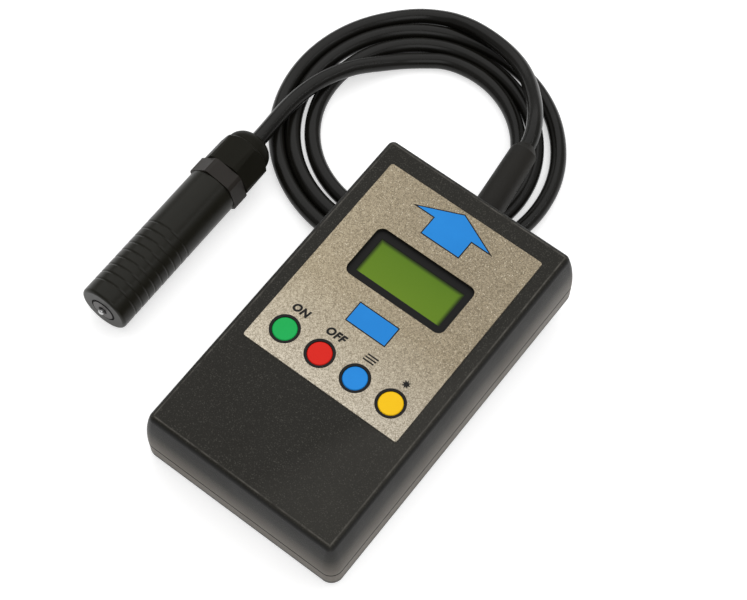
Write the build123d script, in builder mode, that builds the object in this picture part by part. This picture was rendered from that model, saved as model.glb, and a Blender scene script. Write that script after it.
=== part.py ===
from build123d import *
from math import acos, asin, atan2, cos, degrees, pi, radians, sin, tan
import os

# Coating thickness gauge: a hand-held case with a display and four keys, and a cylindrical probe on a cord.
# Millimetres. X to the right of the display, Y towards the end where the cord leaves, Z up from the table.
# The origin is on the table, under the middle of the case and the probe taken together.

# Cord
cord_d = 6.5

# Case, measured lying flat, from the middle of its underside
face_w = 79.4  # the flat front, between its creases
face_l = 139.8
case_h = 30.6
split_z = 10.0  # height of the parting line
bulge = 4.3  # how far the parting line stands outside the crease
crease_r = 0.7  # corner of the crease in plan
shoulder_r = 3.0  # tight arc below the crease
crease_slope = 70.0  # steepness of the skin's normal at the crease
wall = 2.2
floor_t = 2.6
draft = 1.0
under_r = 1.8  # rounded edge of the underside
rim_chamfer = 0.5  # opens the parting line into a fine groove
tongue_h = 1.4
tongue_gap = 0.1
step_h = 1.0  # the tongue is rooted this far below the parting line

# Where the case lies
case_x = 29.8
case_y = -17.2

# Coil of the cord, flat on the table and partly under the case
coil_x = -17.7
coil_y = 79.8
coil_r = 61.2
hole_x = -19.4
hole_y = 77.4
hole_r = 37.3
lean_gap = 0.25  # between the coil and the back of the case
coil_edge = 1.8

# Front
label_w = 69.6
label_low = -26.15
label_high = 62.9
label_t = 0.25
label_r = 1.2
window_w = 44.3
window_l = 22.8
window_r = 3.0
window_x = 0.25
window_y = 27.8
key_pitch = 16.0
key_first = -23.87
key_y = -15.19
key_r = 4.65
collar_r = 5.75
running = 0.15  # play of a key in its collar
film_play = 0.1
key_travel = 0.5
key_edge = 0.3
key_names = ("green", "red", "blue", "yellow")

# Display and boards, heights above the underside
bezel_back = 1.25  # the bezel stands this much behind the face
pocket_play = 0.2
bezel_w = 46.6
bezel_l = 25.2
bezel_t = 6.85
view_w = 38.0
view_l = 15.9
glass_t = 2.2
glass_back = 0.15  # the glass lies this much behind the bezel's front
lip = 0.8
lcd_board_w = 58.0
lcd_board_l = 32.0
fixing_in = 2.5  # board holes, from the board's edges
fixing_r = 1.25
board_t = 1.6
main_top = 18.4
main_w = 74.0
main_low = -30.0
main_high = 60.0
header_w = 35.6
header_t = 2.5
header_in = 2.0
switch_w = 6.0
switch_h = 3.5
plunger_r = 1.75
plunger_play = 0.15
plunger_proud = 1.5
plunger_deep = 1.3
plunger_floor = 0.3  # left below the plunger when the key is down
cap_gap = 0.05
flange_r = 6.4
flange_t = 1.2
flange_gap = 0.3
stem_r = 2.6
chip_w = 20.0
chip_t = 3.2
chip_edge = 0.6

# Screws
post_r = 3.0
board_screw_x = 32.5
board_screw_low = -25.0
board_screw_high = 55.0
board_screw_r = 1.1
board_screw_l = 7.0
board_head_r = 2.2
board_head_t = 1.4
boss_r = 4.2
boss_x = 36.2
boss_y = 65.6
boss_meet = 12.0
case_screw_r = 1.3
case_head_r = 2.75
case_head_t = 2.0
case_screw_l = 13.0
head_sunk = 3.0
blind_end = 1.0  # solid left at the end of a screw hole
screw_play = 0.05
hole_play = 0.3

# Battery, its box and its door
battery_l = 48.5
battery_w = 26.5
battery_h = 17.5
battery_edge = 1.5
terminal_h = 2.6
terminal_at = 6.35
stud_r = 2.9
socket_r = 4.0
snap_t = 3.4
snap_h = 12.5
snap_edge = 2.5
snap_play = 0.1
battery_y = -53.5
box_play = 0.5
box_t = 1.5
box_top = 15.0
door_t = 1.6
door_play = 0.2
door_corner = 1.5
ledge = 3.0
door_screw_y = -35.2
door_end = -31.6
door_screw_r = 1.0
door_screw_l = 6.0
door_head_r = 2.3
door_head_t = 0.9
door_head_in = 0.1
door_boss_t = 0.7

# Sleeve that keeps the cord from kinking where it leaves the case
sleeve_lean = 7.15
sleeve_base_r = 6.2
sleeve_end_r = 5.5
sleeve_straight = 32.3
sleeve_l = 35.5
sleeve_lip = 0.2
neck_r = 5.0
neck_play = 0.2
sleeve_flange_r = 7.2
sleeve_flange_t = 2.2
sleeve_seat = 0.5  # between the flange and the wall
beyond = 1.0  # a cut starts this far outside the skin
bore_play = 0.15
bore_l = 6.0

# Probe, lying on its rim and on a corner of its hexagon
tip_x = -60.2
tip_y = -60.8
probe_heading = 1.17  # turned from the Y axis towards -X
barrel_r = 10.25
barrel_l = 66.1
barrel_wall = 2.0
tip_wall = 6.0
tip_back = 0.2  # the barrel's end stands this much behind the measuring face
rim_r = 1.3
end_chamfer = 0.4
grip_start = 6.45
grip_pitch = 3.87
grip_rings = 9
groove_w = 1.2
groove_d = 0.25
insert_r = 5.0
insert_l = 6.0
insert_chamfer = 0.3
fit = 0.05
core_r = 1.25
core_l = 22.0
core_out = 1.6  # the pole stands this much out of the measuring face
core_round = 0.8
winding_gap = 1.3
winding_l = 13.0
winding_flange = 1.0
hex_af = 20.4
hex_r = 11.3  # the hexagon's corners are turned to this radius
hex_l = 7.0
hex_turn = 16.0
thread_l = 7.0
thread_play = 0.1
spigot_r = 8.0
spigot_l = 12.5
nut_gap = 0.3
nut_af = 20.4
nut_r = 11.2
nut_turn = 58.0
nut_draft = 1.0
nut_straight = 12.0
dome_base_r = 9.4
dome_r = 6.6
nut_nose_r = 5.6
mouth_r = 4.4
seal_r = 6.2
seal_l = 5.2

# Worked out from the above
half_w = face_w / 2 + bulge
half_l = face_l / 2 + bulge
part_r = crease_r + bulge
drop = case_h - split_z
slope_in = bulge - shoulder_r * (1 - cos(radians(crease_slope)))
slope_up = drop - shoulder_r * sin(radians(crease_slope))
skin_turn = 2 * atan2(slope_in, slope_up)
skin_r = slope_up / sin(skin_turn) + shoulder_r
ceiling = case_h - wall * sin(radians(crease_slope))
boss_top = ceiling + wall / 2
pivot_y = under_r - half_l
coil_front = coil_y - coil_r - (case_y + pivot_y)
tilt = degrees(asin((cord_d + lean_gap) / coil_front))
lean = (
    Location((case_x, case_y + pivot_y, under_r))
    * Location((0, 0, 0), (tilt, 0, 0))
    * Location((0, -pivot_y, -under_r))
)

os.makedirs("parts", exist_ok=True)


def skin_section(plane, reach, inset, whole):
    """Section of the upper case on an upright plane, from its local x = 0 out to the skin, drawn in by inset.

    A large arc rises upright from the parting line and runs on, tangent, into the tight shoulder arc."""
    large = skin_r - inset
    tight = shoulder_r - inset
    middle = reach + crease_r + bulge + inset - skin_r
    knee = middle + (skin_r - shoulder_r) * cos(skin_turn)
    knee_z = split_z + (skin_r - shoulder_r) * sin(skin_turn)
    top = radians(crease_slope)
    crease = (knee + tight * cos(top), knee_z + tight * sin(top))
    with BuildSketch(plane) as section:
        with BuildLine():
            Line((0, split_z), (middle + large, split_z))
            CenterArc((middle, split_z), large, 0, degrees(skin_turn))
            CenterArc((knee, knee_z), tight, degrees(skin_turn), crease_slope - degrees(skin_turn))
            Line(crease, (0, crease[1]))
            Line((0, crease[1]), (0, split_z))
        make_face()
        if whole:
            mirror(about=Plane.YZ)
    return section.sketch


def upper_form(inset):
    """The upper case's form, drawn in by inset: two crossing lengths of a section, and turned corners."""
    axis_x = face_w / 2 - crease_r - inset
    axis_y = face_l / 2 - crease_r - inset
    with BuildPart() as form:
        extrude(skin_section(Plane.XZ, axis_x, inset, True), amount=axis_y, both=True)
        extrude(skin_section(Plane.YZ, axis_y, inset, True), amount=axis_x, both=True)
        for side in (-1, 1):
            for end in (-1, 1):
                corner = (side * axis_x, end * axis_y, 0)
                upright = Plane(origin=corner, x_dir=(side, 0, 0), z_dir=(0, -side, 0))
                turn = Axis(corner, (0, 0, side * end))
                revolve(skin_section(upright, 0, inset, False), axis=turn, revolution_arc=90)
    return form.part


def corners(x, y):
    """The four places at plus and minus x and y."""
    return [(-x, -y), (x, -y), (-x, y), (x, y)]


boss_places = corners(boss_x, boss_y)
post_places = [
    (-board_screw_x, board_screw_low),
    (board_screw_x, board_screw_low),
    (-board_screw_x, board_screw_high),
    (board_screw_x, board_screw_high),
]
key_places = [(key_first + i * key_pitch, key_y) for i in range(len(key_names))]
window_at = (window_x, window_y)
bezel_front = case_h - bezel_back
pocket_top = bezel_front + film_play
main_bottom = main_top - board_t

# Upper shell: curved skin, display window with a pocket behind it, key collars, posts and screw bosses
upper_skin = upper_form(0)
upper_room = upper_form(wall)
with BuildPart() as top_shell:
    add(upper_skin)
    add(upper_room, mode=Mode.SUBTRACT)
    with BuildSketch(Plane.XY.offset(split_z)):
        RectangleRounded(2 * half_w - wall, 2 * half_l - wall, part_r)
    extrude(amount=tongue_h + tongue_gap, mode=Mode.SUBTRACT)
    with BuildSketch(Plane.XY.offset(main_top)):
        with Locations(*post_places):
            Circle(post_r)
    extrude(amount=boss_top - main_top)
    with BuildSketch(Plane.XY.offset(boss_meet)):
        with Locations(*boss_places):
            Circle(boss_r)
    extrude(amount=boss_top - boss_meet)
    with BuildSketch(Plane.XY.offset(case_h)):
        with Locations(*key_places):
            Circle(collar_r)
    extrude(amount=label_t)
    with BuildSketch(Plane.XY.offset(ceiling)):
        with Locations(window_at):
            Rectangle(bezel_w + 2 * pocket_play, bezel_l + 2 * pocket_play)
    extrude(amount=pocket_top - ceiling, mode=Mode.SUBTRACT)
    with BuildSketch(Plane.XY.offset(ceiling)):
        with Locations(window_at):
            RectangleRounded(window_w, window_l, window_r)
        with Locations(*key_places):
            Circle(key_r + running)
    extrude(amount=case_h + label_t - ceiling, mode=Mode.SUBTRACT)
    with BuildSketch(Plane.XY.offset(main_top)):
        with Locations(*post_places):
            Circle(board_screw_r + screw_play)
    extrude(amount=ceiling - blind_end - main_top, mode=Mode.SUBTRACT)
    with BuildSketch(Plane.XY.offset(boss_meet)):
        with Locations(*boss_places):
            Circle(case_screw_r + screw_play)
    extrude(amount=ceiling - blind_end - boss_meet, mode=Mode.SUBTRACT)
    with BuildSketch(Plane.XZ.offset(-half_l - beyond)):
        with Locations((0, split_z)):
            Circle(neck_r + neck_play)
    extrude(amount=beyond + 2 * wall, mode=Mode.SUBTRACT)
top_shell.part.move(lean)
top_shell.part.label = "top_shell"
export_step(top_shell.part, "parts/top_shell.step")

# Lower shell: drafted tray with a tongue, battery box, door ledge and sunk screw bosses
box_l = battery_l + snap_t + 2 * box_play
box_w = battery_w + 2 * box_play
box_x = snap_t / 2
box_at = (box_x, battery_y)
door_front = battery_y - box_w / 2 - ledge
door_y = (door_front + door_end) / 2
door_l = door_end - door_front
door_w = box_l + 2 * ledge
door_screw_at = (box_x, door_screw_y)
with BuildPart() as bottom_shell:
    with BuildSketch(Plane.XY.offset(split_z)):
        RectangleRounded(2 * half_w, 2 * half_l, part_r)
    extrude(amount=split_z, dir=(0, 0, -1), taper=draft)
    fillet(bottom_shell.edges().group_by(Axis.Z)[0], under_r)
    chamfer(bottom_shell.edges().group_by(Axis.Z)[-1], rim_chamfer)
    with BuildSketch(Plane.XY.offset(split_z)):
        RectangleRounded(2 * (half_w - wall), 2 * (half_l - wall), part_r)
    extrude(amount=split_z - floor_t, dir=(0, 0, -1), taper=draft, mode=Mode.SUBTRACT)
    with BuildSketch(Plane.XY.offset(split_z - step_h)):
        RectangleRounded(2 * (half_w - tongue_gap) - wall, 2 * (half_l - tongue_gap) - wall, part_r)
        RectangleRounded(2 * (half_w - wall), 2 * (half_l - wall), part_r, mode=Mode.SUBTRACT)
    extrude(amount=step_h + tongue_h)
    with BuildSketch(Plane.XY.offset(floor_t / 2)):
        with Locations(*boss_places):
            Circle(boss_r)
    extrude(amount=boss_meet - tongue_gap - floor_t / 2)
    with BuildSketch(Plane.XY.offset(floor_t / 2)):
        with Locations(box_at):
            Rectangle(box_l + 2 * box_t, box_w + 2 * box_t)
    extrude(amount=box_top - floor_t / 2)
    with BuildSketch(Plane.XY.offset(floor_t / 2)):
        with Locations(door_screw_at):
            Circle(door_head_r + door_boss_t)
    extrude(amount=split_z - floor_t / 2)
    with BuildSketch():
        with Locations(box_at):
            Rectangle(box_l, box_w)
    extrude(amount=box_top, mode=Mode.SUBTRACT)
    with BuildSketch():
        with Locations((box_x, door_y)):
            RectangleRounded(door_w, door_l, door_corner)
    extrude(amount=door_t, mode=Mode.SUBTRACT)
    with BuildSketch(Plane.XY.offset(door_t)):
        with Locations(door_screw_at):
            Circle(door_screw_r + screw_play)
    extrude(amount=split_z - door_t - blind_end, mode=Mode.SUBTRACT)
    with BuildSketch():
        with Locations(*boss_places):
            Circle(case_head_r + hole_play)
    extrude(amount=head_sunk, mode=Mode.SUBTRACT)
    with BuildSketch(Plane.XY.offset(head_sunk)):
        with Locations(*boss_places):
            Circle(case_screw_r + hole_play)
    extrude(amount=boss_meet - head_sunk, mode=Mode.SUBTRACT)
    with BuildSketch(Plane.XZ.offset(-half_l - beyond)):
        with Locations((0, split_z)):
            Circle(neck_r + neck_play)
    extrude(amount=beyond + 2 * wall, mode=Mode.SUBTRACT)
bottom_shell.part.move(lean)
bottom_shell.part.label = "bottom_shell"
export_step(bottom_shell.part, "parts/bottom_shell.step")

# Battery door: a flat plate flush with the underside, held by one screw
with BuildPart() as battery_door:
    with BuildSketch():
        with Locations((box_x, door_y)):
            RectangleRounded(door_w - 2 * door_play, door_l - 2 * door_play, door_corner - door_play)
    extrude(amount=door_t - fit)
    with BuildSketch():
        with Locations(door_screw_at):
            Circle(door_head_r + hole_play)
    extrude(amount=door_head_in + door_head_t, mode=Mode.SUBTRACT)
    with BuildSketch():
        with Locations(door_screw_at):
            Circle(door_screw_r + hole_play)
    extrude(amount=door_t, mode=Mode.SUBTRACT)
battery_door.part.move(lean)
battery_door.part.label = "battery_door"
export_step(battery_door.part, "parts/battery_door.step")


def screw(at, head_z, head_r, head_t, shank_r, shank_l):
    """A pan-head screw driven upwards, with a cross recess in its head."""
    with BuildPart() as form:
        with BuildSketch(Plane.XY.offset(head_z)):
            with Locations(at):
                Circle(head_r)
        extrude(amount=head_t)
        with BuildSketch(Plane.XY.offset(head_z + head_t)):
            with Locations(at):
                Circle(shank_r)
        extrude(amount=shank_l)
        with BuildSketch(Plane.XY.offset(head_z)):
            with Locations(at):
                Rectangle(head_r, head_r / 4)
                Rectangle(head_r / 4, head_r)
        extrude(amount=head_t / 2, mode=Mode.SUBTRACT)
    return form


door_screw = screw(door_screw_at, door_head_in, door_head_r, door_head_t, door_screw_r, door_screw_l)
door_screw.part.move(lean)
door_screw.part.label = "door_screw"
export_step(door_screw.part, "parts/door_screw.step")

# Screws that hold the two shells together
for number, place in enumerate(boss_places, 1):
    case_screw = screw(place, head_sunk - case_head_t, case_head_r, case_head_t, case_screw_r, case_screw_l)
    case_screw.part.move(lean)
    case_screw.part.label = f"case_screw_{number}"
    export_step(case_screw.part, f"parts/case_screw_{number}.step")

# Front label: printed film with its window and the four collar holes
with BuildPart() as front_label:
    with BuildSketch(Plane.XY.offset(case_h)):
        with Locations((0, (label_low + label_high) / 2)):
            RectangleRounded(label_w, label_high - label_low, label_r)
        with Locations(window_at):
            RectangleRounded(window_w, window_l, window_r, mode=Mode.SUBTRACT)
        with Locations(*key_places):
            Circle(collar_r + film_play, mode=Mode.SUBTRACT)
    extrude(amount=label_t)
front_label.part.move(lean)
front_label.part.label = "front_label"
export_step(front_label.part, "parts/front_label.step")

# Display: bezel, glass, board and the pin strip that carries it on the main board
bezel_low = bezel_front - bezel_t
glass_low = bezel_front - glass_back - glass_t
with BuildPart() as lcd_bezel:
    with BuildSketch(Plane.XY.offset(bezel_low)):
        with Locations(window_at):
            Rectangle(bezel_w, bezel_l)
            Rectangle(view_w - 2 * lip, view_l - 2 * lip, mode=Mode.SUBTRACT)
    extrude(amount=bezel_t)
    with BuildSketch(Plane.XY.offset(glass_low)):
        with Locations(window_at):
            Rectangle(view_w, view_l)
    extrude(amount=bezel_front - glass_low, mode=Mode.SUBTRACT)
lcd_bezel.part.move(lean)
lcd_bezel.part.label = "lcd_bezel"
export_step(lcd_bezel.part, "parts/lcd_bezel.step")

with BuildPart() as lcd_glass:
    with BuildSketch(Plane.XY.offset(glass_low)):
        with Locations(window_at):
            Rectangle(view_w - 2 * fit, view_l - 2 * fit)
    extrude(amount=glass_t)
lcd_glass.part.move(lean)
lcd_glass.part.label = "lcd_glass"
export_step(lcd_glass.part, "parts/lcd_glass.step")

lcd_board_low = bezel_low - board_t
with BuildPart() as lcd_board:
    with BuildSketch(Plane.XY.offset(lcd_board_low)):
        with Locations(window_at):
            Rectangle(lcd_board_w, lcd_board_l)
            with GridLocations(lcd_board_w - 2 * fixing_in, lcd_board_l - 2 * fixing_in, 2, 2):
                Circle(fixing_r, mode=Mode.SUBTRACT)
    extrude(amount=board_t)
lcd_board.part.move(lean)
lcd_board.part.label = "lcd_board"
export_step(lcd_board.part, "parts/lcd_board.step")

with BuildPart() as lcd_header:
    with BuildSketch(Plane.XY.offset(main_top)):
        with Locations((window_x, window_y + lcd_board_l / 2 - header_in)):
            Rectangle(header_w, header_t)
    extrude(amount=lcd_board_low - main_top)
lcd_header.part.move(lean)
lcd_header.part.label = "lcd_header"
export_step(lcd_header.part, "parts/lcd_header.step")

# Main board with its controller on the underside, hung from the posts by four screws
with BuildPart() as main_board:
    with BuildSketch(Plane.XY.offset(main_bottom)):
        with Locations((0, (main_low + main_high) / 2)):
            Rectangle(main_w, main_high - main_low)
        with Locations(*post_places):
            Circle(board_screw_r + hole_play, mode=Mode.SUBTRACT)
    extrude(amount=board_t)
main_board.part.move(lean)
main_board.part.label = "main_board"
export_step(main_board.part, "parts/main_board.step")

with BuildPart() as controller_chip:
    with BuildSketch(Plane.XY.offset(main_bottom - chip_t)):
        with Locations(window_at):
            Rectangle(chip_w, chip_w)
    extrude(amount=chip_t)
    chamfer(controller_chip.edges().group_by(Axis.Z)[0], chip_edge)
controller_chip.part.move(lean)
controller_chip.part.label = "controller_chip"
export_step(controller_chip.part, "parts/controller_chip.step")

for number, place in enumerate(post_places, 1):
    head_at = main_bottom - board_head_t
    board_screw = screw(place, head_at, board_head_r, board_head_t, board_screw_r, board_screw_l)
    board_screw.part.move(lean)
    board_screw.part.label = f"board_screw_{number}"
    export_step(board_screw.part, f"parts/board_screw_{number}.step")

# Keys: a cap with a flange behind the front, on the plunger of a switch on the main board
switch_top = main_top + switch_h
plunger_top = switch_top + plunger_proud
key_top = case_h + label_t
flange_top = ceiling - flange_gap
for colour, place in zip(key_names, key_places):
    with BuildPart() as key:
        with BuildSketch(Plane.XY.offset(flange_top)):
            with Locations(place):
                Circle(key_r)
        extrude(amount=key_top - flange_top)
        chamfer(key.edges().group_by(Axis.Z)[-1], key_edge)
        with BuildSketch(Plane.XY.offset(flange_top - flange_t)):
            with Locations(place):
                Circle(flange_r)
        extrude(amount=flange_t)
        with BuildSketch(Plane.XY.offset(plunger_top + cap_gap)):
            with Locations(place):
                Circle(stem_r)
        extrude(amount=flange_top - flange_t - plunger_top - cap_gap)
    key.part.move(lean)
    key.part.label = f"key_{colour}"
    export_step(key.part, f"parts/key_{colour}.step")
    with BuildPart() as plunger:
        with BuildSketch(Plane.XY.offset(switch_top - plunger_deep)):
            with Locations(place):
                Circle(plunger_r)
        extrude(amount=plunger_deep + plunger_proud)
    plunger.part.move(lean)
    plunger.part.label = f"plunger_{colour}"
    export_step(plunger.part, f"parts/plunger_{colour}.step")
    with BuildPart() as switch:
        with BuildSketch(Plane.XY.offset(main_top)):
            with Locations(place):
                Rectangle(switch_w, switch_w)
        extrude(amount=switch_h)
        with BuildSketch(Plane.XY.offset(switch_top)):
            with Locations(place):
                Circle(plunger_r + plunger_play)
        extrude(amount=-(plunger_deep + key_travel + plunger_floor), mode=Mode.SUBTRACT)
    switch.part.move(lean)
    switch.part.label = f"switch_{colour}"
    export_step(switch.part, f"parts/switch_{colour}.step")

# Battery: a nine-volt block with its two terminals, and the snap connector on them
battery_low = door_t + hole_play
battery_end = box_x + (box_l / 2 - box_play) - snap_t
battery_start = battery_end - battery_l
body_end = battery_end - terminal_h
battery_mid = battery_low + battery_h / 2
with BuildPart() as battery:
    with BuildSketch(Plane.YZ.offset(battery_start)):
        with Locations((battery_y, battery_mid)):
            RectangleRounded(battery_w, battery_h, battery_edge)
    extrude(amount=body_end - battery_start)
    with BuildSketch(Plane.YZ.offset(body_end)):
        with Locations((battery_y - terminal_at, battery_mid)):
            Circle(stud_r)
        with Locations((battery_y + terminal_at, battery_mid)):
            RegularPolygon(socket_r, 6)
    extrude(amount=terminal_h)
battery.part.move(lean)
battery.part.label = "battery"
export_step(battery.part, "parts/battery.step")

with BuildPart() as battery_snap:
    with BuildSketch(Plane.YZ.offset(body_end + snap_play)):
        with Locations((battery_y, battery_mid)):
            RectangleRounded(battery_w - 2 * box_play, snap_h, snap_edge)
    extrude(amount=terminal_h + snap_t - 2 * snap_play)
    with BuildSketch(Plane.YZ.offset(body_end + snap_play)):
        with Locations((battery_y - terminal_at, battery_mid)):
            Circle(stud_r + snap_play)
        with Locations((battery_y + terminal_at, battery_mid)):
            Circle(socket_r + snap_play)
    extrude(amount=terminal_h, mode=Mode.SUBTRACT)
battery_snap.part.move(lean)
battery_snap.part.label = "battery_snap"
export_step(battery_snap.part, "parts/battery_snap.step")

# Sleeve: a flange inside the wall, a neck through it and a leaning tapered tube outside
aim = radians(sleeve_lean)
sleeve_dir = Vector(-sin(aim), cos(aim), 0)
sleeve_root = Vector(0, half_l, split_z)
sleeve_plane = Plane(origin=sleeve_root, x_dir=(0, 0, 1), z_dir=Vector(0, 0, 1).cross(sleeve_dir))
flange_end = half_l - wall - sleeve_seat
with BuildPart() as cord_sleeve:
    with BuildSketch(sleeve_plane):
        Polygon(
            (0, -wall),
            (sleeve_base_r, -wall),
            (sleeve_end_r, sleeve_straight),
            (cord_d / 2 + bore_play + sleeve_lip, sleeve_l),
            (0, sleeve_l),
            align=None,
        )
    revolve(axis=Axis(sleeve_root, sleeve_dir))
    split(bisect_by=Plane.XZ.offset(-half_l - fit), keep=Keep.BOTTOM)
    with BuildSketch(Plane.XZ.offset(-half_l - beyond)):
        with Locations((0, split_z)):
            Circle(neck_r)
    extrude(amount=half_l + beyond - flange_end)
    with BuildSketch(Plane.XZ.offset(-flange_end)):
        with Locations((0, split_z)):
            Circle(sleeve_flange_r)
    extrude(amount=sleeve_flange_t)
    with BuildSketch(Plane(origin=sleeve_root + sleeve_dir * sleeve_l, z_dir=-sleeve_dir)):
        Circle(cord_d / 2 + bore_play)
    extrude(amount=bore_l, mode=Mode.SUBTRACT)
cord_sleeve.part.move(lean)
cord_sleeve.part.label = "cord_sleeve"
export_step(cord_sleeve.part, "parts/cord_sleeve.step")

# Probe frame: the tip rests on the barrel's rim, the other end on the lowest corner of the hexagon
corner_off = (90 - hex_turn) % 60
corner_half = 30 - degrees(acos(hex_af / 2 / hex_r))
hex_drop = hex_r * cos(radians(max(min(corner_off, 60 - corner_off) - corner_half, 0)))
hex_far = barrel_l + hex_l
rise = atan2(hex_drop - barrel_r, barrel_l - tip_back - rim_r)
probe_dir = Vector(
    -sin(radians(probe_heading)) * cos(rise), cos(radians(probe_heading)) * cos(rise), sin(rise)
)
probe_side = Vector(cos(radians(probe_heading)), sin(radians(probe_heading)), 0)
tip_z = barrel_r * cos(rise) - (tip_back + rim_r) * sin(rise)
tip = Vector(tip_x, tip_y, tip_z)
probe_axis = Axis(tip, probe_dir)
probe_section = Plane(origin=tip, x_dir=probe_side, z_dir=probe_side.cross(probe_dir))


def across(distance):
    """Plane across the probe at a distance from its measuring face, facing the cord."""
    return Plane(origin=tip + probe_dir * distance, x_dir=probe_side, z_dir=probe_dir)


# Probe barrel: a thick front wall, a rounded rim, grip grooves and a bore open towards the gland
bore_r = barrel_r - barrel_wall
seat_r = insert_r + fit
grip = [(barrel_r, tip_back + rim_r)]
for ring in range(grip_rings):
    start = grip_start + ring * grip_pitch
    grip += [(barrel_r, start), (barrel_r - groove_d, start + groove_w / 2), (barrel_r, start + groove_w)]
with BuildPart() as probe_barrel:
    with BuildSketch(probe_section):
        with BuildLine():
            Polyline(
                *grip,
                (barrel_r, barrel_l - end_chamfer),
                (barrel_r - end_chamfer, barrel_l),
                (bore_r, barrel_l),
                (bore_r, tip_wall),
                (seat_r, tip_wall),
                (seat_r, tip_back + insert_chamfer),
                (seat_r + insert_chamfer, tip_back),
                (barrel_r - rim_r, tip_back),
            )
            CenterArc((barrel_r - rim_r, tip_back + rim_r), rim_r, -90, 90)
        make_face()
    revolve(axis=probe_axis)
probe_barrel.part.label = "probe_barrel"
export_step(probe_barrel.part, "parts/probe_barrel.step")

# Measuring end: an insert in the barrel's mouth, and the pole that stands out of it
with BuildPart() as probe_insert:
    with BuildSketch(across(0)):
        Circle(insert_r)
        Circle(core_r + fit, mode=Mode.SUBTRACT)
    extrude(amount=insert_l)
    chamfer(probe_insert.faces().sort_by(probe_axis)[0].outer_wire().edges(), insert_chamfer)
probe_insert.part.label = "probe_insert"
export_step(probe_insert.part, "parts/probe_insert.step")

with BuildPart() as probe_core:
    with BuildSketch(across(-core_out)):
        Circle(core_r)
    extrude(amount=core_out + core_l)
    fillet(probe_core.faces().sort_by(probe_axis)[0].edges(), core_round)
probe_core.part.label = "probe_core"
export_step(probe_core.part, "parts/probe_core.step")

# Winding on the core, between two flanges, clear of the bore
winding_r = bore_r - winding_gap
with BuildPart() as probe_winding:
    with BuildSketch(across(insert_l)):
        Circle(winding_r)
        Circle(core_r + fit, mode=Mode.SUBTRACT)
    extrude(amount=winding_l)
    with BuildSketch(across(insert_l + winding_flange)):
        Circle(winding_r)
        Circle(winding_r - winding_flange, mode=Mode.SUBTRACT)
    extrude(amount=winding_l - 2 * winding_flange, mode=Mode.SUBTRACT)
probe_winding.part.label = "probe_winding"
export_step(probe_winding.part, "parts/probe_winding.step")

# Gland: a hexagon screwed into the barrel, with the spigot that carries the nut
spigot_end = hex_far + spigot_l
with BuildPart() as gland_body:
    with BuildSketch(across(barrel_l - thread_l)):
        Circle(bore_r - thread_play)
    extrude(amount=thread_l)
    with BuildSketch(across(barrel_l)):
        RegularPolygon(hex_af / 2, 6, major_radius=False, rotation=hex_turn)
        Circle(hex_r, mode=Mode.INTERSECT)
    extrude(amount=hex_l)
    with BuildSketch(across(hex_far)):
        Circle(spigot_r)
    extrude(amount=spigot_l)
gland_body.part.label = "gland_body"
export_step(gland_body.part, "parts/gland_body.step")

# Gland nut: drafted flats to turn it by, a shoulder, and a dome down to the cord's mouth
nut_start = hex_far + nut_gap
shoulder = nut_start + nut_straight
dome_start = shoulder + nut_r - dome_base_r
dome_turn = acos((nut_nose_r - dome_base_r + dome_r) / dome_r)
nut_end = dome_start + dome_r * sin(dome_turn)
seal_end = spigot_end + seal_l
with BuildPart() as gland_nut:
    with BuildSketch(probe_section):
        with BuildLine():
            Polyline((0, nut_end), (0, nut_start), (nut_r, nut_start), (nut_r, shoulder))
            Line((nut_r, shoulder), (dome_base_r, dome_start))
            CenterArc((dome_base_r - dome_r, dome_start), dome_r, 0, degrees(dome_turn))
            Line((nut_nose_r, nut_end), (0, nut_end))
        make_face()
    revolve(axis=probe_axis)
    with BuildSketch(across(nut_start)):
        RegularPolygon(nut_af / 2, 6, major_radius=False, rotation=nut_turn)
    extrude(amount=nut_end - nut_start, taper=nut_draft, mode=Mode.INTERSECT)
    with BuildSketch(across(nut_start)):
        Circle(spigot_r + thread_play)
    extrude(amount=spigot_end - nut_start, mode=Mode.SUBTRACT)
    with BuildSketch(across(nut_start)):
        Circle(seal_r + thread_play)
    extrude(amount=seal_end - nut_start, mode=Mode.SUBTRACT)
    with BuildSketch(across(nut_start)):
        Circle(mouth_r)
    extrude(amount=nut_end - nut_start, mode=Mode.SUBTRACT)
gland_nut.part.label = "gland_nut"
export_step(gland_nut.part, "parts/gland_nut.step")

# Seal that the nut presses round the cord
with BuildPart() as gland_seal:
    with BuildSketch(across(spigot_end)):
        Circle(seal_r)
        Circle(cord_d / 2 + bore_play, mode=Mode.SUBTRACT)
    extrude(amount=seal_l)
gland_seal.part.label = "gland_seal"
export_step(gland_seal.part, "parts/gland_seal.step")

# Cord, coiled stretch: the outer form of its turns, lying on the table
with BuildPart() as cord_coil:
    with BuildSketch():
        with Locations((coil_x, coil_y)):
            Circle(coil_r)
        with Locations((hole_x, hole_y)):
            Circle(hole_r, mode=Mode.SUBTRACT)
    extrude(amount=cord_d)
    chamfer(cord_coil.edges().filter_by(GeomType.CIRCLE), coil_edge)
cord_coil.part.label = "cord_coil"
export_step(cord_coil.part, "parts/cord_coil.step")


def cord_tube(points):
    """A round tube along straight runs, joined by arcs as large as both runs allow."""
    radii = []
    for before, here, after in zip(points, points[1:], points[2:]):
        turn = radians((here - before).get_angle(after - here))
        shorter = min((here - before).length, (after - here).length)
        radii.append(0.45 * shorter / tan(turn / 2))
    print("radii", [round(radius, 1) for radius in radii])
    with BuildPart() as tube:
        with BuildLine():
            route = FilletPolyline(*points, radius=radii)
        with BuildSketch(Plane(origin=points[0], z_dir=points[1] - points[0])):
            Circle(cord_d / 2)
        sweep()
    full = pi * cord_d**2 / 4 * route.length
    print("length", round(route.length, 1), "volume ratio", round(tube.part.volume / full, 4))
    return tube


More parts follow.
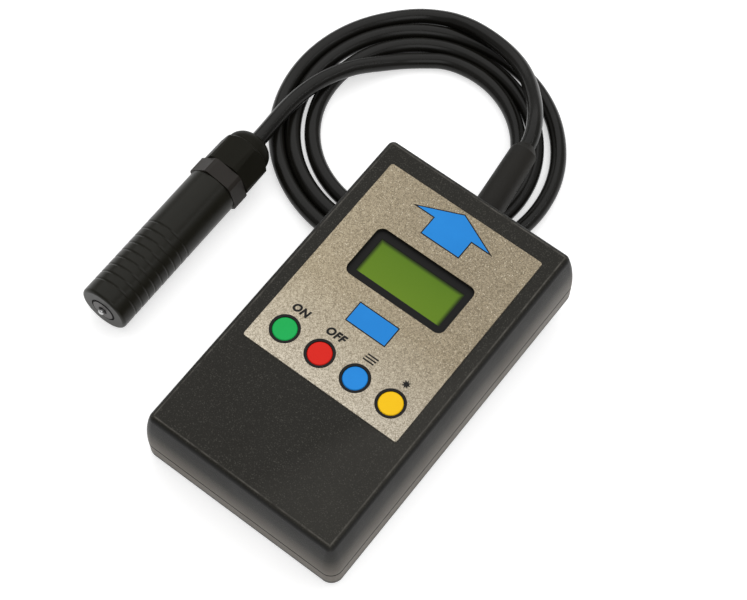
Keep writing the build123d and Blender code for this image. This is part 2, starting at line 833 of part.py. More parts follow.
# Cord, first stretch: from the sleeve over the outer turns and down into the coil
sleeve_in = lean * Location(sleeve_root + sleeve_dir * (sleeve_l - bore_l))
sleeve_out = lean * Location(sleeve_root + sleeve_dir * sleeve_l)
cord_lead_in = cord_tube([
    sleeve_in.position,
    sleeve_out.position,
    Vector(23.6, 97.6, 21.9),
    Vector(20.4, 103.6, 21.4),
    Vector(16.2, 109.8, 19.4),
    Vector(10.9, 116.1, 16.7),
    Vector(4.6, 122.3, 14.1),
    Vector(-2.9, 127.4, 11.8),
    Vector(-11.8, 130.7, 10.3),
    Vector(-21.7, 132.0, 9.7),
    Vector(-31.2, 132.4, 8.3),
])
cord_lead_in.part.label = "cord_lead_in"
export_step(cord_lead_in.part, "parts/cord_lead_in.step")

# Cord, last stretch: up from the innermost turn, over the others and into the gland
cord_lead_out = cord_tube([
    Vector(-50.4, 96.4, 5.4),
    Vector(-54.6, 88.4, 7.8),
    Vector(-58.3, 80.1, 9.6),
    Vector(-61.2, 72.0, 10.2),
    Vector(-63.0, 63.9, 10.1),
    Vector(-63.7, 55.9, 10.0),
    Vector(-63.4, 48.1, 10.2),
    Vector(-62.7, 40.3, 10.8),
    tip + probe_dir * nut_end,
    tip + probe_dir * spigot_end,
])
cord_lead_out.part.label = "cord_lead_out"
export_step(cord_lead_out.part, "parts/cord_lead_out.step")
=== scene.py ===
from math import pi, radians

import bpy
import numpy as np
from mathutils import Matrix, Vector


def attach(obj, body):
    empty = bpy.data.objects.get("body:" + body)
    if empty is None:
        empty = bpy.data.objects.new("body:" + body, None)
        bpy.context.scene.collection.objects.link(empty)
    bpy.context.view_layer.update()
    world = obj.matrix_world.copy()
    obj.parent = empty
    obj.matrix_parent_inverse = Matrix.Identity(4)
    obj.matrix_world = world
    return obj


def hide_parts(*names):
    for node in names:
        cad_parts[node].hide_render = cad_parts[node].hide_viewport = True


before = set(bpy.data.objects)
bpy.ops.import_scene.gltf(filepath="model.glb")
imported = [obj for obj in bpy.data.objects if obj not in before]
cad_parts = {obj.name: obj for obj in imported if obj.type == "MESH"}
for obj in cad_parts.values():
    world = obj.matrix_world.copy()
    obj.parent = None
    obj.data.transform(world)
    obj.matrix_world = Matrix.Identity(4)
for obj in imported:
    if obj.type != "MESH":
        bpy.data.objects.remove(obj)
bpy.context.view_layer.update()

# Camera
# It stands high above the gauge, out past its near end and its right side, and is turned so that
# the end with the cord points up to the right.
camera_at = (0.22617, -0.30386, 0.69423)
camera_right = Vector((0.79252, 0.60897, 0.03268)).normalized()
camera_back = Vector((0.2691, -0.39729, 0.87735)).normalized()
camera_lens = 99.68
camera_sensor = 36


def add_object(name, data):
    """A new object that holds the data, linked to the scene."""
    made = bpy.data.objects.new(name, data)
    bpy.context.scene.collection.objects.link(made)
    return made


camera_data = bpy.data.cameras.new("camera")
camera_data.lens = camera_lens
camera_data.sensor_width = camera_sensor
camera = add_object("camera", camera_data)
camera_up = camera_back.cross(camera_right).normalized()
turned = Matrix((camera_up.cross(camera_back), camera_up, camera_back)).transposed()
camera.matrix_world = Matrix.Translation(camera_at) @ turned.to_4x4()
bpy.context.scene.camera = camera
bpy.context.scene.view_settings.view_transform = "Standard"

# Light and floor
# A pale table top in an evenly lit room, under one large soft lamp, a weaker one beside the camera
# and a narrow strip. Seen directly or in a reflection, the table is lifted to white where the gauge
# doesn't shade it.
table_reach = 30.0
table_colour = (0.80, 0.80, 0.80, 1)
table_roughness = 0.9
table_shine = 0.1
table_glow = 0.5
room_colour = (1, 1, 1, 1)
room_light = 0.42


def bare_material(name):
    """A new material with nodes."""
    made = bpy.data.materials.new(name)
    made.use_nodes = True
    return made


def inside(material):
    """A material's node tree, and the shader in it."""
    return material.node_tree, material.node_tree.nodes["Principled BSDF"]


def white_backdrop(tree, lit, plain):
    """Gives camera, glossy and transmission rays the plain shader, and all others the lit one.

    Each kind of ray has a mark that is 0 or 1, and the greatest of the three is the mix."""
    rays = tree.nodes.new("ShaderNodeLightPath")
    seen = rays.outputs["Is Camera Ray"]
    for kind in ("Is Glossy Ray", "Is Transmission Ray"):
        greatest = tree.nodes.new("ShaderNodeMath")
        greatest.operation = "MAXIMUM"
        tree.links.new(seen, greatest.inputs[0])
        tree.links.new(rays.outputs[kind], greatest.inputs[1])
        seen = greatest.outputs[0]
    mix = tree.nodes.new("ShaderNodeMixShader")
    tree.links.new(seen, mix.inputs["Fac"])
    tree.links.new(lit, mix.inputs[1])
    tree.links.new(plain, mix.inputs[2])
    return mix.outputs[0]


table_mesh = bpy.data.meshes.new("table_top")
table_corners = table_reach * np.array([(-1, -1, 0), (1, -1, 0), (1, 1, 0), (-1, 1, 0)])
table_mesh.from_pydata(table_corners.tolist(), [], [(0, 1, 2, 3)])
table_top = add_object("table_top", table_mesh)
pale_table = bare_material("pale_table")
tree, shader = inside(pale_table)
shader.inputs["Base Color"].default_value = table_colour
shader.inputs["Roughness"].default_value = table_roughness
shader.inputs["Specular IOR Level"].default_value = table_shine
glow = tree.nodes.new("ShaderNodeEmission")
glow.inputs["Strength"].default_value = table_glow
lifted = tree.nodes.new("ShaderNodeAddShader")
tree.links.new(shader.outputs[0], lifted.inputs[0])
tree.links.new(glow.outputs[0], lifted.inputs[1])
surface = tree.nodes["Material Output"].inputs["Surface"]
tree.links.new(white_backdrop(tree, shader.outputs[0], lifted.outputs[0]), surface)
table_mesh.materials.append(pale_table)

room = bpy.data.worlds.new("room")
room.use_nodes = True
bpy.context.scene.world = room
room_air = room.node_tree.nodes["Background"]
room_air.inputs["Color"].default_value = room_colour
room_air.inputs["Strength"].default_value = room_light


def soft_lamp(name, place, aim, length, breadth, power):
    """A rectangular area lamp at a place, facing a point, with its length level."""
    data = bpy.data.lights.new(name, "AREA")
    data.shape = "RECTANGLE"
    data.size = length
    data.size_y = breadth
    data.energy = power
    lamp = add_object(name, data)
    lamp.location = place
    lamp.rotation_euler = (Vector(aim) - Vector(place)).to_track_quat("-Z", "Y").to_euler()


soft_lamp(
    "overhead", place=(-0.35, 0.40, 0.95), aim=(0, 0, 0), length=1.6, breadth=1.6, power=8.5
)
soft_lamp(
    "by_the_camera", place=(0.55, -0.55, 1.0), aim=(0, 0, 0), length=0.8, breadth=0.8, power=3.5
)
soft_lamp(
    "strip", place=(0.58, 0.37, 0.67), aim=(-0.06, 0, 0.01), length=0.7, breadth=0.03, power=0.7
)

# Cord
# Black rubber-covered lead, 6.5 mm thick. It leaves the sleeve, drops over its own outer turns,
# winds inwards for three and a half turns on the table, partly under the case, and climbs over them
# into the gland.
cord_d = 0.0065
cord_exit = (0.02538, 0.09136, 0.02133)
from_sleeve = [
    (0.02613, 0.08542, 0.02096),
    cord_exit,
    (0.0236, 0.0976, 0.0219),
    (0.0204, 0.1036, 0.0214),
    (0.0162, 0.1098, 0.0194),
    (0.0109, 0.1161, 0.0167),
    (0.0046, 0.1223, 0.0141),
    (-0.0029, 0.1274, 0.0118),
    (-0.0118, 0.1307, 0.0103),
    (-0.0217, 0.1320, 0.0097),
    (-0.0312, 0.1324, 0.0083),
    (-0.0422, 0.1318, 0.0047),
]
cord_steps_along = 10
cord_steps_round = 8
coil_middle = (-0.0177, 0.0798)
# Degrees from the X axis, to the coil's first point and from each to the next
coil_from = 130.0
coil_step = 22.5
coil_points = 48
# How far from the middle the cord lies as it goes round: degrees from the X axis, then metres
round_to = (
    130, 165, 195, 230, 256, 300, 345, 375, 400, 430, 455, 480, 540,
    600, 660, 705, 740, 780, 810, 860, 900, 960, 1020, 1080, 1130, 1190,
)
lies_at = (
    0.0583, 0.0574, 0.0572, 0.0576, 0.0576, 0.0586, 0.0599, 0.0588, 0.0564, 0.0535, 0.0512, 0.0512,
    0.0508, 0.0510, 0.0514, 0.0511, 0.0489, 0.0462, 0.0447, 0.0439, 0.0428, 0.0430, 0.0437, 0.0427,
    0.0399, 0.0380,
)
into_gland = [
    (-0.0382, 0.1092, 0.00325),
    (-0.0445, 0.1033, 0.0036),
    (-0.0497, 0.0960, 0.0054),
    (-0.0546, 0.0884, 0.0078),
    (-0.0583, 0.0801, 0.0096),
    (-0.0612, 0.0720, 0.0102),
    (-0.0630, 0.0639, 0.0101),
    (-0.0637, 0.0559, 0.0100),
    (-0.0634, 0.0481, 0.0102),
    (-0.0627, 0.0403, 0.0108),
    (-0.06210, 0.03235, 0.01152),
    (-0.06195, 0.02477, 0.01141),
]
angle = coil_from + coil_step * np.arange(coil_points)
distance = np.interp(angle, round_to, lies_at)
coil = np.column_stack([
    coil_middle[0] + distance * np.cos(np.radians(angle)),
    coil_middle[1] + distance * np.sin(np.radians(angle)),
    np.full(coil_points, cord_d / 2),
])
cord_points = [*from_sleeve, *coil.tolist(), *into_gland]

cord_curve = bpy.data.curves.new("probe_cord", "CURVE")
cord_curve.dimensions = "3D"
line = cord_curve.splines.new("NURBS")
line.points.add(len(cord_points) - 1)
for point, place in zip(line.points, cord_points):
    point.co = (*place, 1)
    point.radius = cord_d / 2
line.order_u = 3
line.use_endpoint_u = True
line.resolution_u = cord_steps_along
cord_curve.resolution_u = cord_steps_along
# The bevel is 1 m times each point's radius
cord_curve.bevel_depth = 1.0
cord_curve.bevel_resolution = cord_steps_round
cord_curve.use_fill_caps = True
probe_cord = add_object("probe_cord", cord_curve)
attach(probe_cord, "gauge")
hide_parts("cord_lead_in", "cord_coil", "cord_lead_out")


def shade(red, green, blue):
    """A colour as a screen shows it, 0 to 255, turned into light for a shader by the sRGB curve."""
    value = np.array((red, green, blue)) / 255
    linear = np.where(value > 0.04045, ((value + 0.055) / 1.055) ** 2.4, value / 12.92)
    return (*linear.tolist(), 1)


def feed(tree, socket, value):
    """Links an output to a socket, or sets the socket's own number or colour."""
    if isinstance(value, bpy.types.NodeSocket):
        tree.links.new(value, socket)
    else:
        socket.default_value = value


def fed_by(shader, label):
    """The output that feeds one of a shader's sockets."""
    return shader.inputs[label].links[0].from_socket


def object_place(tree):
    """A point's place in the frame, in metres: its Object coordinates."""
    return tree.nodes.new("ShaderNodeTexCoord").outputs["Object"]


def noise(tree, place, scale, detail=2.0, roughness=0.5):
    """A noise texture on a place, at so many cells a metre."""
    node = tree.nodes.new("ShaderNodeTexNoise")
    node.inputs["Detail"].default_value = detail
    node.inputs["Roughness"].default_value = roughness
    tree.links.new(place, node.inputs["Vector"])
    feed(tree, node.inputs["Scale"], scale)
    return node.outputs["Fac"]


def spread(tree, value, low, high, to_low=0.0, to_high=1.0):
    """Stretches a value that runs from low to high over a new range, and stops it at both ends."""
    node = tree.nodes.new("ShaderNodeMapRange")
    node.inputs["From Min"].default_value = low
    node.inputs["From Max"].default_value = high
    node.inputs["To Min"].default_value = to_low
    node.inputs["To Max"].default_value = to_high
    tree.links.new(value, node.inputs["Value"])
    return node.outputs["Result"]


def blended(tree, share, first, second):
    """Two values in one: so much of the second, and the rest of the first."""
    node = tree.nodes.new("ShaderNodeMix")
    feed(tree, node.inputs["Factor"], share)
    tree.links.new(first, node.inputs["A"])
    tree.links.new(second, node.inputs["B"])
    return node.outputs["Result"]


def two_tone(tree, factor, low, high):
    """A colour between two, by a mask."""
    node = tree.nodes.new("ShaderNodeMix")
    node.data_type = "RGBA"
    tree.links.new(factor, node.inputs["Factor"])
    for label, colour in (("A", low), ("B", high)):
        feed(tree, [i for i in node.inputs if i.name == label and i.type == "RGBA"][0], colour)
    return [o for o in node.outputs if o.type == "RGBA"][0]


def group_of(name, inputs, output):
    """A shader node group that takes a place and named numbers, and gives one value.

    Returns the group, its inputs, and the socket that its value goes to."""
    made = bpy.data.node_groups.new(name, "ShaderNodeTree")
    sockets = made.interface
    sockets.new_socket("Vector", in_out="INPUT", socket_type="NodeSocketVector")
    for label, value in inputs.items():
        socket = sockets.new_socket(label, in_out="INPUT", socket_type="NodeSocketFloat")
        socket.default_value = value
    sockets.new_socket(output, in_out="OUTPUT", socket_type="NodeSocketFloat")
    given = made.nodes.new("NodeGroupInput").outputs
    return made, given, made.nodes.new("NodeGroupOutput").inputs[output]


# The grain that a mould leaves, as a height: small rounded grains and a share of broader waves
mould_grain, given, height = group_of(
    "mould_grain", {"Grains": 2500.0, "Waves": 60.0, "Share": 0.25}, "Height"
)
small = noise(mould_grain, given["Vector"], given["Grains"], detail=3.0, roughness=0.6)
broad = noise(mould_grain, given["Vector"], given["Waves"], detail=1.0)
mould_grain.links.new(blended(mould_grain, given["Share"], small, broad), height)

# Use, as a mask: faint smears where hands have polished the surface
smear_from = 0.42
smear_to = 0.68
handling, given, smeared = group_of("handling", {"Smears": 35.0}, "Smear")
smear = noise(handling, given["Vector"], given["Smears"], detail=4.0, roughness=0.65)
handling.links.new(spread(handling, smear, smear_from, smear_to), smeared)


def place_group(tree, group, place, **values):
    """Places a node group on a place, with its own values."""
    node = tree.nodes.new("ShaderNodeGroup")
    node.node_tree = group
    tree.links.new(place, node.inputs["Vector"])
    for label, value in values.items():
        node.inputs[label].default_value = value
    return node


def grained(name, low, high, sheen, dull, grains, depth, shine=0.5, metal=0.0):
    """A material with two close tones, given as they show on a screen, that the smears mix.

    Its roughness runs with them from sheen to dull, and its grain is a bump as deep as depth."""
    made = bare_material(name)
    tree, shader = inside(made)
    place = object_place(tree)
    skin = place_group(tree, mould_grain, place, Grains=grains)
    used = place_group(tree, handling, place).outputs["Smear"]
    tree.links.new(two_tone(tree, used, shade(*low), shade(*high)), shader.inputs["Base Color"])
    tree.links.new(spread(tree, used, 0, 1, sheen, dull), shader.inputs["Roughness"])
    shader.inputs["Specular IOR Level"].default_value = shine
    shader.inputs["Metallic"].default_value = metal
    bump = tree.nodes.new("ShaderNodeBump")
    bump.inputs["Strength"].default_value = 1.0
    bump.inputs["Distance"].default_value = depth
    tree.links.new(skin.outputs["Height"], bump.inputs["Height"])
    tree.links.new(bump.outputs["Normal"], shader.inputs["Normal"])
    return made


cord_rubber = grained(
    "cord_rubber", (16, 15, 12), (21, 20, 17),
    sheen=0.24, dull=0.32, grains=3200.0, depth=0.000008, shine=0.22,
)
cord_curve.materials.append(cord_rubber)

# Case
# Two shells of charcoal ABS, spark-eroded all over, meet at a fine dark parting line, and a door of
# the same plastic covers the battery. Its colour carries painted light: a thin painted highlight on
# the crease round the front, a painted sheen on the near end with the rest painted darker, a
# painted shade band under the crease, and a painted reflection of the table that pales the walls
# above the parting line.
case_lean = 3.576690
near_edge_at = (0.0298, -0.0896, 0.0018)
from_near_edge = (0, 0.0724, -0.0018)
lean = (
    Matrix.Translation(near_edge_at)
    @ Matrix.Rotation(radians(case_lean), 4, "X")
    @ Matrix.Translation(from_near_edge)
)
# Places on the case as it lies flat, in its own frame: x across it, y along it and z up
crease_half = (0.0397, 0.0699)
crease_high = 0.0306
crease_line = 0.00045
crease_patches = 220.0
crease_patch_range = (0.35, 0.65)
crease_patch_least = 0.1
parting_high = 0.0098
parting_half = 0.00030
collar_high = 0.0300
collar_reach = 0.0059
key_pitch = 0.0160
key_first = -0.02387
key_row = -0.01519
row_reach = 0.0325
reflection_top = 0.0220
shoulder_low = 0.0180
shoulder_high = 0.0280
foot_from = 0.0020
# A painted sheen lies where y less the turn times x is low; the rest of the case is painted darker
sheen_turn = 3.0
sheen_full = -0.110
sheen_none = -0.078
pale_count = 2400.0
pale_range = (0.58, 0.74)


def in_case(tree):
    """Object coordinates turned and moved into the case's own frame, as it lies flat."""
    upright = tree.nodes.new("ShaderNodeMapping")
    upright.inputs["Location"].default_value = lean.inverted().translation
    upright.inputs["Rotation"].default_value = lean.inverted().to_euler()
    tree.links.new(object_place(tree), upright.inputs["Vector"])
    return upright.outputs["Vector"]


def split(tree, place):
    """The x, y and z of a place."""
    parts = tree.nodes.new("ShaderNodeSeparateXYZ")
    tree.links.new(place, parts.inputs[0])
    return parts.outputs


def reckon(tree, operation, first, second=0.0):
    """One sum on a value and a second value or number."""
    node = tree.nodes.new("ShaderNodeMath")
    node.operation = operation
    tree.links.new(first, node.inputs[0])
    feed(tree, node.inputs[1], second)
    return node.outputs[0]


def distance_from(tree, value, at):
    """How far a value is from a number, on either side."""
    return reckon(tree, "ABSOLUTE", reckon(tree, "SUBTRACT", value, at))


def ridge(tree, value, at, width):
    """A mask that is 1 where a value is at a number, and falls to 0 within a width on each side."""
    return spread(tree, distance_from(tree, value, at), 0, width, 1, 0)


def give_finish(material, *nodes):
    """Gives CAD nodes a material in place of the one they were packed with."""
    for node in nodes:
        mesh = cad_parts[node].data
        mesh.materials.clear()
        mesh.materials.append(material)


case_plastic = grained(
    "case_plastic", (38, 36, 31), (45, 43, 38),
    sheen=0.46, dull=0.54, grains=1900.0, depth=0.00012, shine=0.2,
)
tree, shader = inside(case_plastic)
place = in_case(tree)
parts = split(tree, place)

# The crease is where the larger of the distances outside the front's two half sizes is 0
past_side = reckon(tree, "SUBTRACT", reckon(tree, "ABSOLUTE", parts["X"]), crease_half[0])
past_end = reckon(tree, "SUBTRACT", reckon(tree, "ABSOLUTE", parts["Y"]), crease_half[1])
from_crease = reckon(tree, "MAXIMUM", past_side, past_end)
# Painted highlight: a thin paler line along the crease at the front's height, broken in patches
at_crease = ridge(tree, from_crease, 0.0, crease_line)
at_front = ridge(tree, parts["Z"], crease_high, 2 * crease_line)
patches = noise(tree, place, crease_patches, detail=3.0, roughness=0.6)
uneven = spread(tree, patches, *crease_patch_range, crease_patch_least, 1.0)
crease_highlight = reckon(tree, "MULTIPLY", reckon(tree, "MULTIPLY", at_crease, at_front), uneven)
from_parting = distance_from(tree, parts["Z"], parting_high)
parting = spread(tree, from_parting, parting_half, 2 * parting_half, 1, 0)

# A collar is a circle round a key: along the row, a point counts from the nearest key
along_row = reckon(tree, "ADD", parts["X"], -key_first)
from_key = reckon(tree, "PINGPONG", along_row, key_pitch / 2)
from_row = reckon(tree, "SUBTRACT", parts["Y"], key_row)
squares = reckon(
    tree, "ADD", reckon(tree, "POWER", from_key, 2.0), reckon(tree, "MULTIPLY", from_row, from_row)
)
round_key = reckon(tree, "LESS_THAN", reckon(tree, "SQRT", squares), collar_reach)
in_row = reckon(tree, "LESS_THAN", reckon(tree, "ABSOLUTE", parts["X"]), row_reach)
on_face = reckon(tree, "GREATER_THAN", parts["Z"], collar_high)
collar = reckon(tree, "MULTIPLY", round_key, reckon(tree, "MULTIPLY", in_row, on_face))

# Each colour lies over the one before: the painted shade away from the painted sheen, the pale
# grains, the painted shade band under the crease, the painted reflection of the table on the walls,
# the painted highlight on the crease, the collars and the parting line
# Painted sheen: the near end keeps the lighter tone, and the rest of the case is painted darker
along_sheen = reckon(
    tree, "SUBTRACT", parts["Y"], reckon(tree, "MULTIPLY", parts["X"], sheen_turn)
)
off_sheen = spread(tree, along_sheen, sheen_full, sheen_none)
sheen_shaded = two_tone(tree, off_sheen, fed_by(shader, "Base Color"), shade(28, 26, 20))
pale_grains = spread(tree, noise(tree, place, pale_count, detail=1.0), *pale_range)
speckled = two_tone(tree, pale_grains, sheen_shaded, shade(66, 64, 58))
# Painted shade: a dark band on the walls just below the crease
below_front = spread(tree, parts["Z"], shoulder_low, shoulder_high)
off_crease = spread(tree, from_crease, crease_line, 3 * crease_line)
crease_shade_band = reckon(tree, "MULTIPLY", below_front, off_crease)
band_shaded = two_tone(tree, crease_shade_band, speckled, shade(14, 13, 11))
# Painted reflection of the table: the walls are paler from about 22 mm down through the lower
# shell, fading out at the foot
above = spread(tree, parts["Z"], parting_high, reflection_top, 1, 0)
below = spread(tree, parts["Z"], foot_from, 2 * foot_from, 0, 1)
table_reflection = reckon(tree, "MULTIPLY", above, below)
table_reflected = two_tone(tree, table_reflection, band_shaded, shade(108, 101, 92))
# Painted highlight on the crease
crease_lit = two_tone(tree, crease_highlight, table_reflected, shade(90, 87, 81))
polished = two_tone(tree, collar, crease_lit, shade(16, 15, 14))
tree.links.new(two_tone(tree, parting, polished, shade(6, 6, 6)), shader.inputs["Base Color"])
dull_parting = reckon(tree, "MAXIMUM", fed_by(shader, "Roughness"), parting)
tree.links.new(dull_parting, shader.inputs["Roughness"])
give_finish(case_plastic, "top_shell", "bottom_shell", "battery_door")

# Screws
# Zinc-plated steel with a cross recess, the shank cut with a coarse thread for plastic. Four pull
# the shells together from below, four hold the board, and one holds the door.
thread_pitch = 0.0010
thread_deep = 0.00012


def add_ridges(tree, shader, along, pitch, deep):
    """Adds round ridges to a material's bump: a sine along an axis, with one turn to a pitch."""
    turn = reckon(tree, "SINE", reckon(tree, "MULTIPLY", along, 2 * pi / pitch))
    ridges = tree.nodes.new("ShaderNodeBump")
    ridges.inputs["Distance"].default_value = deep / 2
    tree.links.new(turn, ridges.inputs["Height"])
    tree.links.new(fed_by(shader, "Normal"), ridges.inputs["Normal"])
    tree.links.new(ridges.outputs["Normal"], shader.inputs["Normal"])


screw_steel = grained(
    "screw_steel", (168, 168, 170), (190, 190, 190),
    sheen=0.25, dull=0.4, grains=1800.0, depth=0.00001, metal=1.0,
)
tree, shader = inside(screw_steel)
add_ridges(tree, shader, split(tree, in_case(tree))["Z"], thread_pitch, thread_deep)
give_finish(screw_steel, "door_screw")
for number in range(1, 5):
    give_finish(screw_steel, f"case_screw_{number}", f"board_screw_{number}")

# Front film
# Polyester film with a sparkling silver-grey print, glued on the face of the upper shell. Painted
# light makes the print paler towards its near left corner and its low edge, and a black line runs
# round it just inside its edge.
film_top = 0.03085
film_left = -0.0348
film_right = 0.0348
film_low = -0.02615
film_high = 0.0629
film_corner = 0.0012
line_width = 0.00018
ink_depth = 0.00003
flake_count = 2800.0
patch_count = 1000.0
patch_share = 0.3
speckle_range = (0.41, 0.59)
tone_count = 1100.0
glint_count = 3400.0
glint_range = (0.95, 0.99)
# As the flakes' noise goes from the first number to the second, these go from third to fourth
flake_roughness = (0.4, 0.6, 0.46, 0.36)
flake_metal = (0.4, 0.65, 0.15, 0.45)
film_shine = 0.3
lit_from = 0.055
lit_to = -0.061
lit_most = 0.42
low_lit_from = 0.010
low_lit_most = 0.36
ink_lift = 6

label_film = bare_material("label_film")
tree, shader = inside(label_film)
place = object_place(tree)
flakes = noise(tree, place, flake_count, roughness=0.7)
patches = noise(tree, place, patch_count, roughness=0.6)
speckle = spread(tree, blended(tree, patch_share, flakes, patches), *speckle_range)
tone = noise(tree, place, tone_count, detail=1.0)
warm = two_tone(tree, tone, shade(108, 96, 75), shade(116, 105, 86))
grey = two_tone(tree, tone, shade(161, 147, 120), shade(169, 157, 134))
plain_print = two_tone(tree, speckle, warm, grey)
lit_print = two_tone(tree, speckle, shade(162, 147, 117), shade(232, 217, 186))
low_lit_print = two_tone(tree, speckle, shade(176, 167, 152), shade(250, 245, 235))
face = split(tree, in_case(tree))
slantwise = reckon(tree, "ADD", face["Y"], face["X"])
# Painted light: the print is mixed towards paler tones at the near left corner and the low edge
lit_share = spread(tree, slantwise, lit_from, lit_to, 0.0, lit_most)
low_lit_share = spread(tree, face["Y"], low_lit_from, film_low, 0.0, low_lit_most)
printed = two_tone(tree, lit_share, plain_print, lit_print)
printed = two_tone(tree, low_lit_share, printed, low_lit_print)
glints = tree.nodes.new("ShaderNodeTexVoronoi")
glints.inputs["Scale"].default_value = glint_count
tree.links.new(place, glints.inputs["Vector"])
glint = spread(tree, split(tree, glints.outputs["Color"])["X"], *glint_range)
tree.links.new(two_tone(tree, glint, printed, shade(206, 195, 172)), shader.inputs["Base Color"])
tree.links.new(spread(tree, flakes, *flake_roughness), shader.inputs["Roughness"])
tree.links.new(spread(tree, flakes, *flake_metal), shader.inputs["Metallic"])
shader.inputs["Specular IOR Level"].default_value = film_shine
give_finish(label_film, "front_label")


def ink(name, colour):
    """Printing ink: a colour and one a little lighter, with the film's fine texture below it."""
    lighter = tuple(min(255, part + ink_lift) for part in colour)
    return grained(
        name, colour, lighter, sheen=0.45, dull=0.55, grains=2200.0, depth=0.000015, shine=0.15
    )


def print_on_film(name, mesh, material, place=lean):
    """Moves a mesh from the flat case to the leaning one, and makes it a piece of the print."""
    mesh.transform(place)
    mesh.materials.clear()
    mesh.materials.append(material)
    piece = add_object(name, mesh)
    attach(piece, "gauge")


def rounded(width, height, corner, middle=(0, 0), steps=8):
    """A rectangle with round corners: each is a quarter of a circle about its own middle."""
    quarter = np.linspace(0, pi / 2, steps + 1)
    ring = []
    for turn, (sx, sy) in enumerate(((1, 1), (-1, 1), (-1, -1), (1, -1))):
        around = quarter + turn * pi / 2
        ring.append(np.column_stack([
            middle[0] + sx * (width / 2 - corner) + corner * np.cos(around),
            middle[1] + sy * (height / 2 - corner) + corner * np.sin(around),
        ]))
    return np.vstack(ring)


def band(name, inner, outer, low, high, material):
    """A closed band between two outlines with as many points each, and between two heights above
    the film: a square section carried round them."""
    count = len(inner)
    section = [(inner, low), (outer, low), (outer, high), (inner, high)]
    points = np.vstack([
        np.column_stack([ring, np.full(count, film_top + above)]) for ring, above in section
    ])
    here = np.arange(count)
    ahead = np.roll(here, -1)
    faces = []
    for side in range(4):
        a, b = side * count, ((side + 1) % 4) * count
        faces.append(np.column_stack([here + a, here + b, ahead + b, ahead + a])[:, ::-1])
    mesh = bpy.data.meshes.new(name)
    mesh.from_pydata(points.tolist(), [], np.vstack(faces).tolist())
    print_on_film(name, mesh, material)


black_ink = ink("black_ink", (22, 21, 20))
film_middle = ((film_left + film_right) / 2, (film_low + film_high) / 2)
film_width = film_right - film_left
film_height = film_high - film_low
line_inside = rounded(
    film_width - 2 * line_width, film_height - 2 * line_width, film_corner - line_width, film_middle
)
line_outside = rounded(film_width, film_height, film_corner, film_middle)
band("film_outline", line_inside, line_outside, 0, ink_depth, black_ink)

# Printed arrow and field
# A broad blue arrow points to the end with the cord, and a plain blue field stands between the
# display and the keys. Both are screen-printed over a black edge line.
arrow_tip = (0.0002, 0.06175)
arrow_wing = (0.0184, 0.0536)
arrow_shaft = 0.0088
arrow_foot = 0.0455
edge_line = 0.00045
field_middle = (0.00015, 0.005375)
field_width = 0.0181
field_height = 0.0093
field_corner = 0.0002


def plate(name, outline, low, high, material):
    """A flat plate on the case's face: an outline in metres, between two heights above the film.

    The outline's points make a lower and an upper ring, with quads between and a cap on each."""
    corner = np.array(outline, float)
    count = len(corner)
    points = np.vstack([
        np.column_stack([corner, np.full(count, film_top + above)]) for above in (low, high)
    ])
    here = np.arange(count)
    ahead = np.roll(here, -1)
    sides = np.column_stack([here, ahead, ahead + count, here + count]).tolist()
    faces = [here[::-1].tolist(), (here + count).tolist(), *sides]
    mesh = bpy.data.meshes.new(name)
    mesh.from_pydata(points.tolist(), [], faces)
    print_on_film(name, mesh, material)


def arrow(grow):
    """The arrow's outline, each side moved out by grow.

    A sharp corner moves several times as far: by grow times (1 + slant) / rise at a wing."""
    rise = (arrow_tip[1] - arrow_wing[1]) / (arrow_wing[0] - arrow_tip[0])
    slant = (1 + rise**2) ** 0.5
    sharp = grow * (1 + slant) / rise
    x = arrow_tip[0]
    return [
        (x - arrow_shaft - grow, arrow_foot - grow),
        (x + arrow_shaft + grow, arrow_foot - grow),
        (x + arrow_shaft + grow, arrow_wing[1] - grow),
        (x + arrow_wing[0] + sharp, arrow_wing[1] - grow),
        (x, arrow_tip[1] + slant * grow),
        (x - arrow_wing[0] - sharp, arrow_wing[1] - grow),
        (x - arrow_shaft - grow, arrow_wing[1] - grow),
    ]


blue_ink = ink("blue_ink", (30, 132, 214))
plate("arrow_edge", arrow(0), 0, ink_depth, black_ink)
plate("arrow_fill", arrow(-edge_line), 0, 2 * ink_depth, blue_ink)
whole_field = rounded(field_width, field_height, field_corner, field_middle, steps=2)
blue_field = rounded(
    field_width - 2 * edge_line, field_height - 2 * edge_line, field_corner / 2, field_middle,
    steps=2,
)
plate("field_edge", whole_field, 0, ink_depth, black_ink)
plate("field_fill", blue_field, 0, 2 * ink_depth, blue_ink)

# Key legends
# Small black print above each key: ON and OFF in bold slanted capitals, three bars for the readings
# kept, and a star of short rays for the display's light.
legend_high = 0.0042
legend_bold = 0.00022
legend_slant = 0.2
legend_apart = 1.12
legend_y = -0.0060
bar_count = 3
bar_long = 0.0048
bar_high = 0.0006
bar_corner = 0.0001
bar_apart = 0.0012
star_rays = 8
ray_long = 0.0019
ray_short = 0.0009


def legend(name, words, middle):
    """Words in plain capitals, made a thin solid and set about a middle on the face."""
    letters = bpy.data.curves.new(name, "FONT")
    letters.body = words
    letters.size = legend_high
    letters.offset = legend_bold
    letters.shear = legend_slant
    letters.space_character = legend_apart
    letters.align_x = "CENTER"
    letters.align_y = "CENTER"
    letters.extrude = ink_depth / 2
    shape = add_object(name + "_letters", letters)
    solid = shape.evaluated_get(bpy.context.evaluated_depsgraph_get())
    mesh = bpy.data.meshes.new_from_object(solid)
    bpy.data.objects.remove(shape)
    set_about = Matrix.Translation((*middle, film_top + ink_depth / 2))
    print_on_film(name, mesh, black_ink, lean @ set_about)


